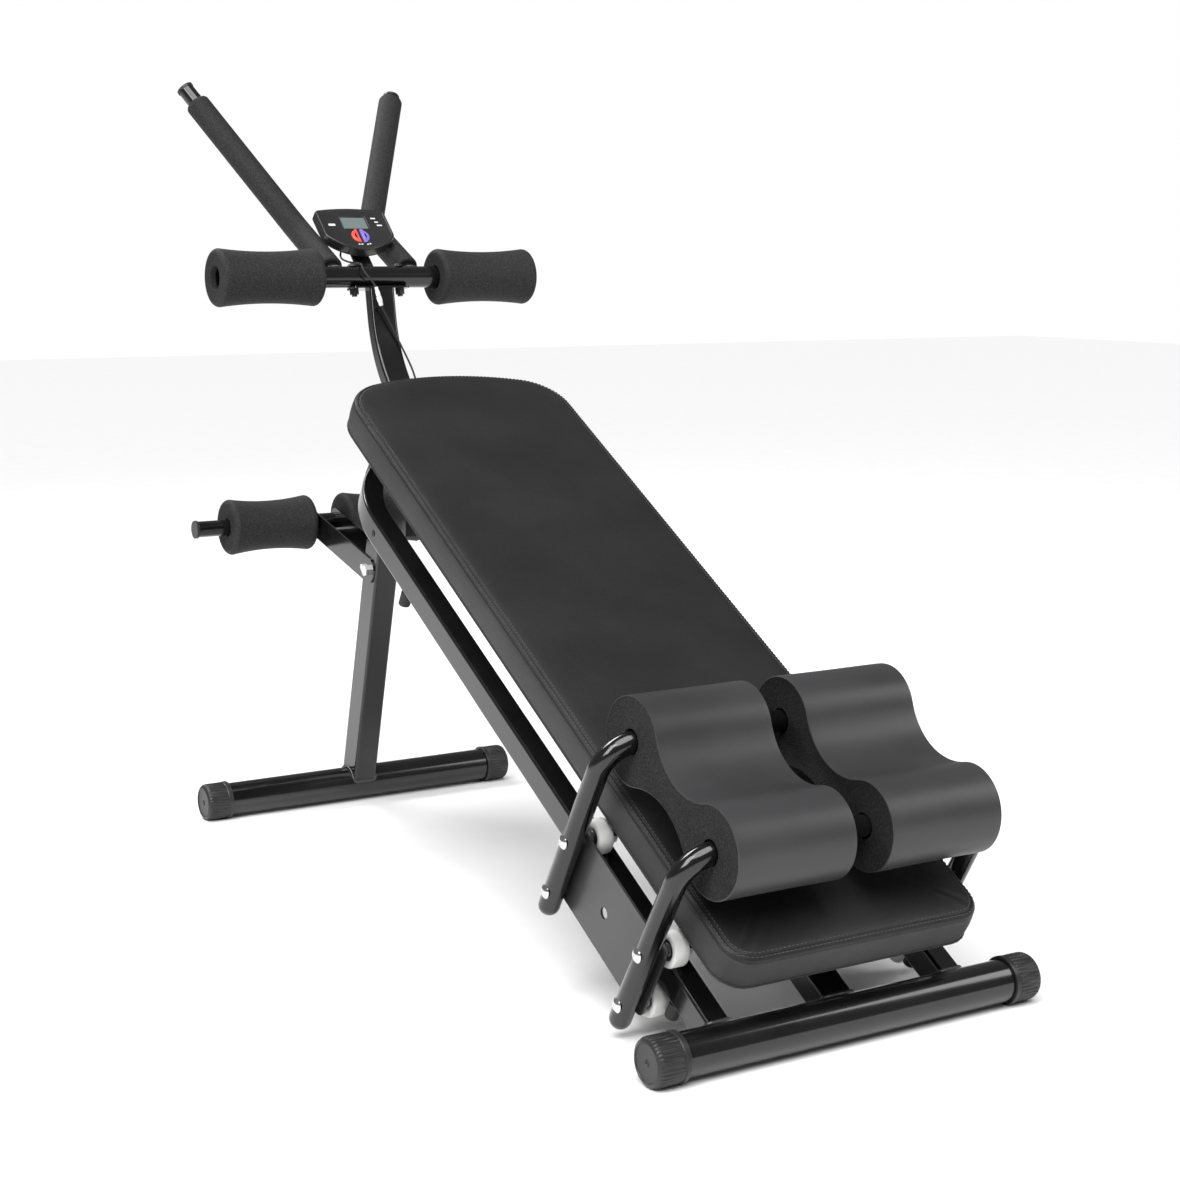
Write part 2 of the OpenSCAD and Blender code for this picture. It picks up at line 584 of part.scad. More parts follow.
// ---- counter lead ----
function spline(p0, p1, p2, p3, t) = 0.5 * (2 * p1 + (p2 - p0) * t
    + (2 * p0 - 5 * p1 + 4 * p2 - p3) * t * t + (3 * p1 - p0 - 3 * p2 + p3) * t * t * t);
function smooth(route, steps) = let (last = len(route) - 1) concat(
    [for (i = [0:last - 1], k = [0:steps - 1]) spline(route[max(i - 1, 0)], route[i], route[i + 1],
        route[min(i + 2, last)], k / steps)], [route[last]]);
module lead(route, steps) {
    sides = 12;
    path = smooth(route, steps);
    last = len(path) - 1;
    rings = [for (i = [0:last]) let (
        t = unit(path[min(i + 1, last)] - path[max(i - 1, 0)]),
        u = unit(cross(t, [1, -1, 1])),
        v = cross(t, u))
        for (k = [0:sides - 1]) path[i] + lead_r * (u * cos(360 * k / sides) + v * sin(360 * k / sides))];
    walls = [for (i = [0:last - 1], k = [0:sides - 1]) let (
        a = i * sides + k, b = i * sides + (k + 1) % sides) [a, a + sides, b + sides, b]];
    color([0.03, 0.03, 0.03]) place() polyhedron(rings, concat(walls,
        [[for (k = [0:sides - 1]) k]], [[for (k = [sides - 1:-1:0]) last * sides + k]]), convexity = 8);
}
module sensor_lead_upper() lead(upper_route, 4);
module sensor_lead_lower() lead(lower_route, 4);
module lead_connector() color([0.9, 0.9, 0.9]) place() {
    middle = (connector_in + connector_out) / 2;
    run(connector_in, along(middle, connector_in, 0.1), 3.5);
    run(along(middle, connector_out, 0.1), connector_out, 4);
}
module reed_sensor() color([0.05, 0.05, 0.05]) slope_frame()
    translate([rail_x + rail_w / 2, 340, -12]) cube([8, 24, 14]);

front_foot_tube();
front_foot_caps();
left_rail();
right_rail();
center_tube();
rear_bracket();
hinge_bolt();
stop_bolt();
pad_brackets();
pad_board();
pad_cushion();
pad_screws();
rail_stops();
neck();
frame_bolts();
saddle_plate();
cross_tube();
handle_left();
handle_right();
grip_left();
grip_right();
handle_caps();
console_housing();
console_back();
console_lens();
console_strap();
sensor_lead_upper();
lead_connector();
sensor_lead_lower();
reed_sensor();
rear_post();
post_bush();
rear_foot_tube();
rear_foot_caps();
ankle_bracket();
ankle_bolts();
ankle_axle();
ankle_caps();
ankle_roll_left();
ankle_roll_right();
knee_roll_left();
knee_roll_right();
bar_front();
bar_back();
side_plates();
carriage_bolts();
carriage_spacers();
wave_pad_left();
wave_pad_right();
sensor_magnet();
roller(-1, bar_low_s, roller_n[0]);  // roller_low_left_top
roller(-1, bar_low_s, roller_n[1]);  // roller_low_left_under
roller(1, bar_low_s, roller_n[0]);  // roller_low_right_top
roller(1, bar_low_s, roller_n[1]);  // roller_low_right_under
roller(-1, bar_high_s, roller_n[0]);  // roller_high_left_top
roller(-1, bar_high_s, roller_n[1]);  // roller_high_left_under
roller(1, bar_high_s, roller_n[0]);  // roller_high_right_top
roller(1, bar_high_s, roller_n[1]);  // roller_high_right_under
button_red();
button_blue();
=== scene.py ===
import math

import bmesh
import bpy
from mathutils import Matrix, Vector, noise


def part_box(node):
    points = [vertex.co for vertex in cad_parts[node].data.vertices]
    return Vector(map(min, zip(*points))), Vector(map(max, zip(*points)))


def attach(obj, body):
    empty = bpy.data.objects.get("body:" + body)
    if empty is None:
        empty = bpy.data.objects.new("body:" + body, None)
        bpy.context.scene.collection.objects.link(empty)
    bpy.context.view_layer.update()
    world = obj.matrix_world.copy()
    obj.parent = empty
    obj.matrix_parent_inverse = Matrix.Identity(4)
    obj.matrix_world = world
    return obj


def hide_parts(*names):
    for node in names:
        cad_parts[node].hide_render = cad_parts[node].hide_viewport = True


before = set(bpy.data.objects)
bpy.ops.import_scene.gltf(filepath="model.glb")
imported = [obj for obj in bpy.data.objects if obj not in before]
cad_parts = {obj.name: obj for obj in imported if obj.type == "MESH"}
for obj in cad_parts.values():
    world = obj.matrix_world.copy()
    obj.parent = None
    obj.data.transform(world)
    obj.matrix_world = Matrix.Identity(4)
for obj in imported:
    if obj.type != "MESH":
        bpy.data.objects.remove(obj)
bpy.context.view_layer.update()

# ---- places, in metres, from the frame ----
X, Y, Z = Vector((1, 0, 0)), Vector((0, 1, 0)), Vector((0, 0, 1))


def middle(node):
    low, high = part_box(node)
    return (low + high) / 2


class Place:
    """A point with three square axes; at() turns local distances into a point of the frame."""

    def __init__(self, origin, x, y, z):
        self.origin, self.x, self.y, self.z = origin, x, y, z

    def at(self, a, b, c):
        return self.origin + self.x * a + self.y * b + self.z * c


def tilted(origin, degrees):
    """A place whose Y axis is turned up from the floor by that angle."""
    t = math.radians(degrees)
    return Place(origin, X, Vector((0, math.cos(t), math.sin(t))), Vector((0, -math.sin(t), math.cos(t))))


FOOT = middle("front_foot_tube")
REAR_FOOT = middle("rear_foot_tube")
SLOPE_DEGREES = 30
SLOPE = tilted(FOOT, SLOPE_DEGREES)
CROSS = middle("cross_tube")
AXLE = middle("ankle_axle")
CONSOLE = tilted(Vector((0, FOOT.y + 1.215, 0.8935)), 44)
BAR_N, BAR_LOW, BAR_GAP = 0.178, 0.115, 0.178
SIDES = (("left", -1), ("right", 1))


# ---- camera, light and floor ----
CAMERA_SPOT = (-1.4397, -1.7713, 0.8658)  # from the middle of the front foot, over the floor
CAMERA_TURN = (90 - 9.06, -0.2, -31.86)
LENS, SENSOR = 65.27, 36
AMBIENT = 0.2
SOFTBOXES = (  # name, place, target, size, watts
    ("key_light", (-2.6, -1.2, 2.2), (0, 0, 0.5), (1.2, 2.0), 60),
    ("fill_light", (2.4, -1.9, 1.9), (0, 0, 0.4), (1.0, 1.6), 22),
    ("back_light", (-0.6, 2.6, 2.8), (0, 0.3, 0.6), (2.0, 1.0), 60),
)
TOP_LIGHT_POWER, TOP_LIGHT_SPREAD, TOP_LIGHT_TURN = 3.1, 50, (22, -16, 0)
FLOOR_REACH = 14.0


def make_camera():
    data = bpy.data.cameras.new("camera")
    data.sensor_width = SENSOR
    data.lens = LENS
    camera = bpy.data.objects.new("camera", data)
    camera.location = (CAMERA_SPOT[0], FOOT.y + CAMERA_SPOT[1], CAMERA_SPOT[2])
    camera.rotation_euler = [math.radians(a) for a in CAMERA_TURN]
    bpy.context.scene.collection.objects.link(camera)
    bpy.context.scene.camera = camera


def softbox(name, place, target, size, power):
    data = bpy.data.lights.new(name, "AREA")
    data.shape = "RECTANGLE"
    data.size, data.size_y = size
    data.energy = power
    light = bpy.data.objects.new(name, data)
    light.location = place
    light.rotation_euler = (Vector(target) - Vector(place)).to_track_quat("-Z", "Y").to_euler()
    bpy.context.scene.collection.objects.link(light)


def make_studio():
    for settings in SOFTBOXES:
        softbox(*settings)
    sun = bpy.data.objects.new("top_light", bpy.data.lights.new("top_light", "SUN"))
    sun.data.energy = TOP_LIGHT_POWER
    sun.data.angle = math.radians(TOP_LIGHT_SPREAD)
    sun.rotation_euler = [math.radians(a) for a in TOP_LIGHT_TURN]
    bpy.context.scene.collection.objects.link(sun)
    world = bpy.data.worlds.new("studio")
    world.use_nodes = True
    tree = world.node_tree
    seen = tree.nodes.new("ShaderNodeLightPath").outputs["Is Camera Ray"]
    level = add(tree, "ShaderNodeMapRange", {"Value": seen}, To_Min=AMBIENT, To_Max=1.0)
    tree.nodes["Background"].inputs["Color"].default_value = (1, 1, 1, 1)
    tree.links.new(level.outputs["Result"], tree.nodes["Background"].inputs["Strength"])
    bpy.context.scene.world = world
    bpy.context.scene.view_settings.view_transform = "Standard"
    mesh = bpy.data.meshes.new("floor")
    corners = [(x * FLOOR_REACH, y * FLOOR_REACH, 0) for x, y in ((-1, -1), (1, -1), (1, 1), (-1, 1))]
    mesh.from_pydata(corners, [], [(0, 1, 2, 3)])
    floor = bpy.data.objects.new("floor", mesh)
    bpy.context.scene.collection.objects.link(floor)
    mesh.materials.append(surface("floor_white", (0.91, 0.91, 0.91), (0.93, 0.93, 0.93), 0.8, grain=2.0))


# ---- materials ----
def blank(name):
    material = bpy.data.materials.new(name)
    material.use_nodes = True
    tree = material.node_tree
    return material, tree, tree.nodes["Principled BSDF"]


def add(tree, kind, links=(), **values):
    """A node with its input values set by name, and its inputs linked from sockets."""
    made = tree.nodes.new(kind)
    for key, value in values.items():
        made.inputs[key.replace("_", " ")].default_value = value
    for key, socket in dict(links).items():
        tree.links.new(socket, made.inputs[key])
    return made


def object_place(tree):
    return tree.nodes.new("ShaderNodeTexCoord").outputs["Object"]


def ramp(tree, source, low, high, start=0.3, end=0.7):
    made = add(tree, "ShaderNodeValToRGB", {"Fac": source})
    made.color_ramp.elements[0].position = start
    made.color_ramp.elements[0].color = (*low, 1)
    made.color_ramp.elements[1].position = end
    made.color_ramp.elements[1].color = (*high, 1)
    return made.outputs["Color"]


def bump(tree, shader, height, strength, distance):
    made = add(tree, "ShaderNodeBump", {"Height": height}, Strength=strength, Distance=distance)
    tree.links.new(made.outputs["Normal"], shader.inputs["Normal"])


def surface(name, low, high, rough, grain=900.0, depth=0.0001, patch=14.0, spread=0.05, metal=0.0, coat=0.0,
            strength=0.35):
    """Paint, plastic or metal: slow colour change, fine grain in the bump, uneven gloss."""
    material, tree, shader = blank(name)
    where = object_place(tree)
    slow = add(tree, "ShaderNodeTexNoise", {"Vector": where}, Scale=patch, Detail=5.0)
    fine = add(tree, "ShaderNodeTexNoise", {"Vector": where}, Scale=grain, Detail=3.0)
    tree.links.new(ramp(tree, slow.outputs["Fac"], low, high), shader.inputs["Base Color"])
    gloss = add(tree, "ShaderNodeMapRange", {"Value": slow.outputs["Fac"]})
    gloss.inputs["To Min"].default_value = max(rough - spread, 0.03)
    gloss.inputs["To Max"].default_value = min(rough + spread, 1.0)
    tree.links.new(gloss.outputs["Result"], shader.inputs["Roughness"])
    bump(tree, shader, fine.outputs["Fac"], strength, depth)
    shader.inputs["Metallic"].default_value = metal
    shader.inputs["Coat Weight"].default_value = coat
    shader.inputs["Coat Roughness"].default_value = 0.08
    return material


def leather(name, low, high, rough):
    """Grained synthetic leather: small cells broken up by noise."""
    material, tree, shader = blank(name)
    where = object_place(tree)
    warp = add(tree, "ShaderNodeTexNoise", {"Vector": where}, Scale=160.0, Detail=2.0)
    shifted = tree.nodes.new("ShaderNodeVectorMath")
    shifted.operation = "MULTIPLY_ADD"
    shifted.inputs[1].default_value = (0.004, 0.004, 0.004)
    tree.links.new(warp.outputs["Color"], shifted.inputs[0])
    tree.links.new(where, shifted.inputs[2])
    cells = add(tree, "ShaderNodeTexVoronoi", {"Vector": shifted.outputs["Vector"]}, Scale=620.0)
    cells.feature = "DISTANCE_TO_EDGE"
    slow = add(tree, "ShaderNodeTexNoise", {"Vector": where}, Scale=9.0, Detail=6.0)
    tree.links.new(ramp(tree, slow.outputs["Fac"], low, high), shader.inputs["Base Color"])
    gloss = add(tree, "ShaderNodeMapRange", {"Value": cells.outputs["Distance"]})
    gloss.inputs["From Max"].default_value = 0.2
    gloss.inputs["To Min"].default_value = rough + 0.14
    gloss.inputs["To Max"].default_value = rough
    tree.links.new(gloss.outputs["Result"], shader.inputs["Roughness"])
    bump(tree, shader, cells.outputs["Distance"], 0.45, 0.0006)
    shader.inputs["Specular IOR Level"].default_value = 0.35
    return material


def foam(name, low, high, rough, pores, strength):
    """Closed-cell foam: dark pores and pale flecks in a matt skin."""
    material, tree, shader = blank(name)
    where = object_place(tree)
    cells = add(tree, "ShaderNodeTexVoronoi", {"Vector": where}, Scale=pores)
    flecks = add(tree, "ShaderNodeTexNoise", {"Vector": where}, Scale=pores * 1.7, Detail=4.0)
    both = tree.nodes.new("ShaderNodeMath")
    both.operation = "MULTIPLY"
    tree.links.new(cells.outputs["Distance"], both.inputs[0])
    tree.links.new(flecks.outputs["Fac"], both.inputs[1])
    tree.links.new(ramp(tree, both.outputs["Value"], low, high, 0.1, 0.42), shader.inputs["Base Color"])
    bump(tree, shader, both.outputs["Value"], strength, 0.0012)
    shader.inputs["Roughness"].default_value = rough
    shader.inputs["Specular IOR Level"].default_value = 0.3
    return material


make_camera()
MAT = {
    "paint": surface("black_paint", (0.003, 0.003, 0.0035), (0.007, 0.007, 0.0075), 0.16, grain=420.0,
                     depth=0.00012, coat=0.3, strength=0.2),
    "plate": surface("plate_paint", (0.018, 0.018, 0.019), (0.03, 0.03, 0.032), 0.34, grain=700.0, coat=0.2),
    "plastic": surface("black_plastic", (0.010, 0.010, 0.010), (0.02, 0.02, 0.02), 0.42, grain=1500.0,
                       strength=0.5),
    "satin": surface("console_plastic", (0.012, 0.012, 0.012), (0.02, 0.02, 0.021), 0.3, grain=2200.0,
                     coat=0.2),
    "chrome": surface("bright_steel", (0.62, 0.62, 0.64), (0.78, 0.78, 0.8), 0.16, grain=1400.0, metal=1.0,
                      depth=0.00004),
    "steel": surface("bearing_steel", (0.2, 0.2, 0.21), (0.36, 0.36, 0.37), 0.33, grain=1800.0, metal=1.0),
    "dark_steel": surface("bearing_shield", (0.03, 0.03, 0.03), (0.07, 0.07, 0.07), 0.4, metal=0.6),
    "nylon": surface("white_nylon", (0.74, 0.74, 0.72), (0.84, 0.84, 0.82), 0.36, grain=600.0),
    "rubber": surface("black_rubber", (0.008, 0.008, 0.008), (0.016, 0.016, 0.016), 0.62, strength=0.6),
    "weld": surface("weld_bead", (0.015, 0.015, 0.016), (0.06, 0.06, 0.062), 0.22, grain=500.0, depth=0.0006,
                    coat=0.5, strength=0.8),
    "leather": leather("pad_leather", (0.007, 0.007, 0.0075), (0.014, 0.014, 0.0145), 0.4),
    "skirt": leather("pad_skirt", (0.026, 0.026, 0.027), (0.04, 0.04, 0.042), 0.5),
    "thread": surface("seam_thread", (0.04, 0.04, 0.042), (0.09, 0.09, 0.095), 0.6, grain=3000.0,
                      strength=0.8),
    "foam": foam("roll_foam", (0.007, 0.007, 0.007), (0.03, 0.03, 0.031), 0.72, 560.0, 0.45),
    "raw_foam": foam("cut_foam", (0.003, 0.003, 0.003), (0.022, 0.022, 0.022), 0.85, 520.0, 0.7),
    "skin": surface("foam_skin", (0.024, 0.024, 0.025), (0.038, 0.038, 0.04), 0.42, grain=260.0, depth=0.0003,
                    patch=6.0, spread=0.07, strength=0.25),
    "lcd": surface("lcd_glass", (0.13, 0.17, 0.165), (0.16, 0.2, 0.195), 0.16, grain=60.0, coat=0.6),
    "red": surface("red_button", (0.72, 0.06, 0.035), (0.85, 0.1, 0.06), 0.32),
    "blue": surface("blue_button", (0.17, 0.12, 0.5), (0.23, 0.17, 0.62), 0.32),
    "ink": surface("white_ink", (0.75, 0.75, 0.75), (0.85, 0.85, 0.85), 0.5),
    "backing": surface("board_cloth", (0.008, 0.008, 0.008), (0.016, 0.016, 0.016), 0.85, grain=1300.0,
                       strength=0.6),
}


# ---- pieces from mesh code ----
def piece(name, verts, faces, materials, body, slot, face_materials=None, replaces=(), sharp=38, subdivide=0):
    """A mesh object that rides on a body; its slot argument is not used."""
    mesh = bpy.data.meshes.new(name)
    mesh.from_pydata([tuple(v) for v in verts], [], faces)
    for material in materials:
        mesh.materials.append(MAT[material])
    if face_materials:
        mesh.polygons.foreach_set("material_index", face_materials)
    work = bmesh.new()
    work.from_mesh(mesh)
    bmesh.ops.remove_doubles(work, verts=work.verts, dist=1e-6)
    bmesh.ops.recalc_face_normals(work, faces=work.faces)
    work.to_mesh(mesh)
    work.free()
    mesh.polygons.foreach_set("use_smooth", [True] * len(mesh.polygons))
    mesh.set_sharp_from_angle(angle=math.radians(sharp))
    made = bpy.data.objects.new(name, mesh)
    bpy.context.scene.collection.objects.link(made)
    if subdivide:
        modifier = made.modifiers.new("smooth", "SUBSURF")
        modifier.levels = modifier.render_levels = subdivide
    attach(made, body)
    if replaces:
        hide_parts(*replaces)
    return made


def stitched(rings, loop=False):
    """Quads between neighbouring closed rings of the same length."""
    count = len(rings[0])
    faces = []
    for i in range(len(rings) if loop else len(rings) - 1):
        a, b = i * count, ((i + 1) % len(rings)) * count
        for k in range(count):
            j = (k + 1) % count
            faces.append((a + k, a + j, b + j, b + k))
    return faces


def flat(rings):
    return [v for ring in rings for v in ring]


def turned(place, profile, segments=72, ripple=None):
    """Rings of a turned shape about the place's z axis; profile holds (along, radius)."""
    rings = []
    for along, radius in profile:
        ring = []
        for k in range(segments):
            t = 2 * math.pi * k / segments
            r = radius + (ripple(along, k) if ripple else 0)
            ring.append(place.at(r * math.cos(t), r * math.sin(t), along))
        rings.append(ring)
    return rings


def rounded_path(points, bend):
    """Points along straight runs joined by arcs."""
    step = 0.004
    path = [points[0]]
    for before, corner, after in zip(points, points[1:], points[2:]):
        d1, d2 = (corner - before).normalized(), (after - corner).normalized()
        angle = d1.angle(d2)
        back = bend * math.tan(angle / 2)
        inward = (d2 - d1 * d1.dot(d2)).normalized()
        center = corner - d1 * back + inward * bend
        count = max(int(bend * angle / step), 4)
        for i in range(count + 1):
            t = angle * i / count
            path.append(center - inward * bend * math.cos(t) + d1 * bend * math.sin(t))
    path.append(points[-1])
    return path


def lengths(path):
    total = [0.0]
    for a, b in zip(path, path[1:]):
        total.append(total[-1] + (b - a).length)
    return total


def swept(path, stations, sides=32):
    """Rings round a path; stations hold (distance along it, radius)."""
    total = lengths(path)
    side = (path[1] - path[0]).cross(Vector((0.3, -0.5, 0.8))).normalized()
    rings = []
    for distance, radius in stations:
        d = min(max(distance, 0.0), total[-1])
        i = max(k for k in range(len(path) - 1) if total[k] <= d + 1e-9)
        ahead = (path[i + 1] - path[i]).normalized()
        spot = path[i] + ahead * (distance - total[i])
        u = (side - ahead * side.dot(ahead)).normalized()
        v = ahead.cross(u)
        turn = [2 * math.pi * k / sides for k in range(sides)]
        rings.append([spot + u * radius * math.cos(t) + v * radius * math.sin(t) for t in turn])
    return rings


def arc_points(center, radius, start, end, count):
    """Points of an arc in a plane, angles in degrees."""
    out = []
    for i in range(count + 1):
        t = math.radians(start + (end - start) * i / count)
        out.append((center[0] + radius * math.cos(t), center[1] + radius * math.sin(t)))
    return out


def inset(loop, distance):
    """A closed counter-clockwise outline moved inwards along its own normals."""
    out = []
    for i, (x, y) in enumerate(loop):
        before, after = loop[i - 1], loop[(i + 1) % len(loop)]
        dx, dy = after[0] - before[0], after[1] - before[1]
        size = math.hypot(dx, dy) or 1.0
        out.append((x - dy / size * distance, y + dx / size * distance))
    return out


def resampled(loop, count):
    """The same closed outline with evenly spaced points."""
    closed = [Vector((*p, 0)) for p in loop + [loop[0]]]
    total = lengths(closed)
    out, i = [], 0
    for k in range(count):
        d = total[-1] * k / count
        while total[i + 1] < d:
            i += 1
        p = closed[i].lerp(closed[i + 1], (d - total[i]) / (total[i + 1] - total[i]))
        out.append((p.x, p.y))
    return out


def holed_face(outer, holes):
    """Triangles that fill the outline between an outer loop and its holes."""
    work = bmesh.new()
    edges = []
    for loop in [outer] + holes:
        made = [work.verts.new(p) for p in loop]
        edges += [work.edges.new((made[i - 1], made[i])) for i in range(len(made))]
    work.verts.index_update()
    bmesh.ops.triangle_fill(work, use_beauty=True, edges=edges)
    faces = [tuple(v.index for v in f.verts) for f in work.faces]
    verts = [v.co.copy() for v in work.verts]
    work.free()
    return verts, faces


class Builder:
    """Collects rings and faces of one piece, each group with its material."""

    def __init__(self, *materials):
        self.materials, self.verts, self.faces, self.marks = materials, [], [], []

    def put(self, verts, faces, material=0):
        base = len(self.verts)
        self.verts += verts
        self.faces += [tuple(i + base for i in f) for f in faces]
        self.marks += [material] * len(faces)

    def rings(self, rings, material=0, loop=False):
        self.put(flat(rings), stitched(rings, loop=loop), material)

    def cap(self, ring, material=0):
        self.put(list(ring), [tuple(range(len(ring)))], material)

    def make(self, name, body, slot, **options):
        return piece(name, self.verts, self.faces, self.materials, body, slot, self.marks, **options)


# ---- back pad ----
PAD_N, PAD_T = 0.059, 0.043
PAD_LOW, PAD_HIGH = 0.0225, 1.145
PAD_HALF_LOW, PAD_HALF_UP = 0.176, 0.170


def pad_outline(count=320):
    low_round, up_round, corner = 0.035, 0.07, PAD_HIGH - 0.083
    side, rise = PAD_HALF_UP - up_round, PAD_HIGH - corner
    crown = (side ** 2 + rise ** 2 - up_round ** 2) / (2 * (rise - up_round))
    meet = math.degrees(math.atan2(corner - (PAD_HIGH - crown), side))
    right = arc_points((PAD_HALF_LOW - low_round, PAD_LOW + low_round), low_round, -90, 0, 16)
    right += arc_points((side, corner), up_round, 0, meet, 20)
    right += arc_points((0, PAD_HIGH - crown), crown, meet, 90, 14)
    left = [(-x, y) for x, y in reversed(right)]
    return resampled(right + left[1:], count)


def pad_crown(x, s):
    """Height of the padded top over its stitched edge: full in the middle and soft towards the rim."""
    across = min(abs(x) / 0.172, 1.0)
    run = min((s - PAD_LOW) / 0.1, (PAD_HIGH - s) / 0.1, 1.0)
    return 0.0035 * (1 - across ** 2) * (0.5 + 0.5 * max(run, 0.0)) + 0.0006 * noise.noise((x * 9, s * 7, 0))


def pucker(x, s, n):
    """Small gathers in the cover where it turns the low corners."""
    corner = Vector((abs(x) - (PAD_HALF_LOW - 0.02), s - (PAD_LOW + 0.02)))
    near = math.exp(-(corner.length / 0.04) ** 2)
    return near * 0.0009 * math.sin(260 * (abs(x) + s) + 90 * n)


def make_pad():
    outline = pad_outline()
    top = PAD_N + PAD_T
    skirt = [(0.009, PAD_N + 0.0004), (0.003, PAD_N), (0.0008, PAD_N + 0.0006), (0, PAD_N + 0.003),
             (-0.0006, PAD_N + 0.012), (-0.0009, PAD_N + 0.02), (-0.0004, PAD_N + 0.029),
             (0.0002, top - 0.0085), (0.0016, top - 0.0075)]
    edge = [(0.0016, top - 0.0075), (0.0004, top - 0.0066), (0.0008, top - 0.0045), (0.0028, top - 0.0018),
            (0.0062, top - 0.0006), (0.0072, top - 0.0016), (0.0082, top - 0.0005), (0.0135, top + 0.0006),
            (0.0235, top + 0.0012)]
    build = Builder("leather", "skirt")

    def ring_of(loop, n, crown=0.0):
        return [SLOPE.at(x, s, n + crown * pad_crown(x, s) + pucker(x, s, n)) for x, s in loop]

    build.rings([ring_of(inset(outline, d), n) for d, n in skirt], 1)
    build.rings([ring_of(inset(outline, d), n, i / 8) for i, (d, n) in enumerate(edge)], 0)
    rim = inset(outline, edge[-1][0])
    spine_end, steps, crowding = 0.17, 10, 0.9
    spine = [(0.0, min(max(s, PAD_LOW + spine_end), PAD_HIGH - spine_end)) for x, s in rim]
    rings = []
    for step in range(steps + 1):
        t = (step / steps) ** crowding
        loop = [(a[0] + (b[0] - a[0]) * t, a[1] + (b[1] - a[1]) * t) for a, b in zip(rim, spine)]
        rings.append(ring_of(loop, edge[-1][1], 1.0))
    build.rings(rings, 0)
    pad = build.make("back_pad", "frame", "pad_leather", replaces=("pad_cushion",), sharp=60, subdivide=1)
    for row, distance, rise in (("upper", 0.0098, 0.0004), ("rim", 0.0044, -0.0009)):
        make_stitches("pad_stitches_" + row, inset(outline, distance), top + rise)
    make_welt(outline)


def make_stitches(name, loop, n):
    """Short threads along a closed outline, each a slim rounded lozenge."""
    pitch, size, thick = 0.0056, 0.0038, 0.0004
    total = lengths([Vector((*p, 0)) for p in loop + [loop[0]]])[-1]
    places = resampled(loop, int(total / pitch))
    build = Builder("thread")
    for i, (x, s) in enumerate(places):
        after = places[(i + 1) % len(places)]
        ahead = Vector((after[0] - x, after[1] - s, 0)).normalized()
        side = Vector((-ahead.y, ahead.x, 0))
        rings = []
        for along, swell in ((-0.5, 0.25), (-0.35, 1), (0.35, 1), (0.5, 0.25)):
            spot = Vector((x, s, n + thick * swell)) + ahead * size * along
            ring = [spot + (side * math.cos(t) + Z * math.sin(t)) * thick * swell
                    for t in (math.tau * k / 6 for k in range(6))]
            rings.append([SLOPE.at(*p) for p in ring])
        build.rings(rings)
        build.cap(rings[0])
        build.cap(rings[-1])
    build.make(name, "frame", "pad_leather")


def make_welt(outline):
    """The dark welt where the cover is pulled under the board."""
    proud = 0.0012
    section = [(0.0035, -0.0006), (0.0008, -0.0002), (0.0004, 0.0012), (0.0016, 0.002), (0.0035, 0.0012)]
    build = Builder("rubber")
    rings = [[SLOPE.at(x, s, PAD_N + h) for x, s in inset(outline, d - proud)] for d, h in section]
    build.rings(rings, loop=True)
    build.make("pad_welt", "frame", "pad_leather", sharp=80)


# ---- two-lobed foams on the carriage ----
def wave_section():
    """Outline of the foam in slope position and height, from the middle between its bars."""
    r, half, dip_top, dip_low = 0.052, BAR_GAP / 2, 0.016, 0.020
    big_top = (half ** 2 + dip_top ** 2 - r ** 2) / (2 * (r - dip_top))
    big_low = (half ** 2 + dip_low ** 2 - r ** 2) / (2 * (r - dip_low))
    top = math.degrees(math.atan2(dip_top + big_top, half))
    low = math.degrees(math.atan2(dip_low + big_low, half))
    upper = arc_points((half, 0), r, -180 + low, 180 - top, 60)
    upper += arc_points((0, dip_top + big_top), big_top, -top, -180 + top, 24)[1:-1]
    upper += arc_points((-half, 0), r, top, 360 - low, 60)
    upper += arc_points((0, -dip_low - big_low), big_low, 180 - low, low, 24)[1:-1]
    return upper


def make_wave(side_name, side):
    section = wave_section()
    inner, outer, hole_r, steps = 0.025, 0.181, 0.0148, 26
    edge, edge_drop, corner_drop, rim_in, rim_drop = 0.0005, 0.0002, 0.0012, 0.0008, 0.0022
    middle_s = BAR_LOW + BAR_GAP / 2
    build = Builder("skin", "raw_foam")

    def ring_at(x, distance):
        loop = inset(section, distance)
        soft = [(s, n, 0.0005 * noise.noise((x * 14, s * 20, n * 20))) for s, n in loop]
        return [SLOPE.at(side * x, middle_s + s + d, BAR_N + n + d) for s, n, d in soft]

    body = [inner + (outer - inner) * i / steps for i in range(steps + 1)]
    rings = [ring_at(inner, corner_drop), ring_at(inner + edge, edge_drop)]
    rings += [ring_at(x, 0) for x in body[1:-1]]
    rings += [ring_at(outer - edge, edge_drop), ring_at(outer, corner_drop)]
    build.rings(rings, 0)
    bores = [[(s + a, b) for a, b in arc_points((0, BAR_N), hole_r, 0, 350, 35)]
             for s in (BAR_LOW, BAR_LOW + BAR_GAP)]
    for x, ring in ((inner, rings[0]), (outer, rings[-1])):
        rim = ring_at(x + (rim_in if x == inner else -rim_in), rim_drop)
        build.rings([ring, rim], 1)
        build.put(*holed_face(rim, [[SLOPE.at(side * x, a, b) for a, b in bore] for bore in bores]), 1)
    for bore in bores:
        build.rings([[SLOPE.at(side * x, a, b) for a, b in bore] for x in (inner, outer)], 1)
    wave = build.make("wave_foam_" + side_name, "carriage", "foam", replaces=("wave_pad_" + side_name,),
                      sharp=50)


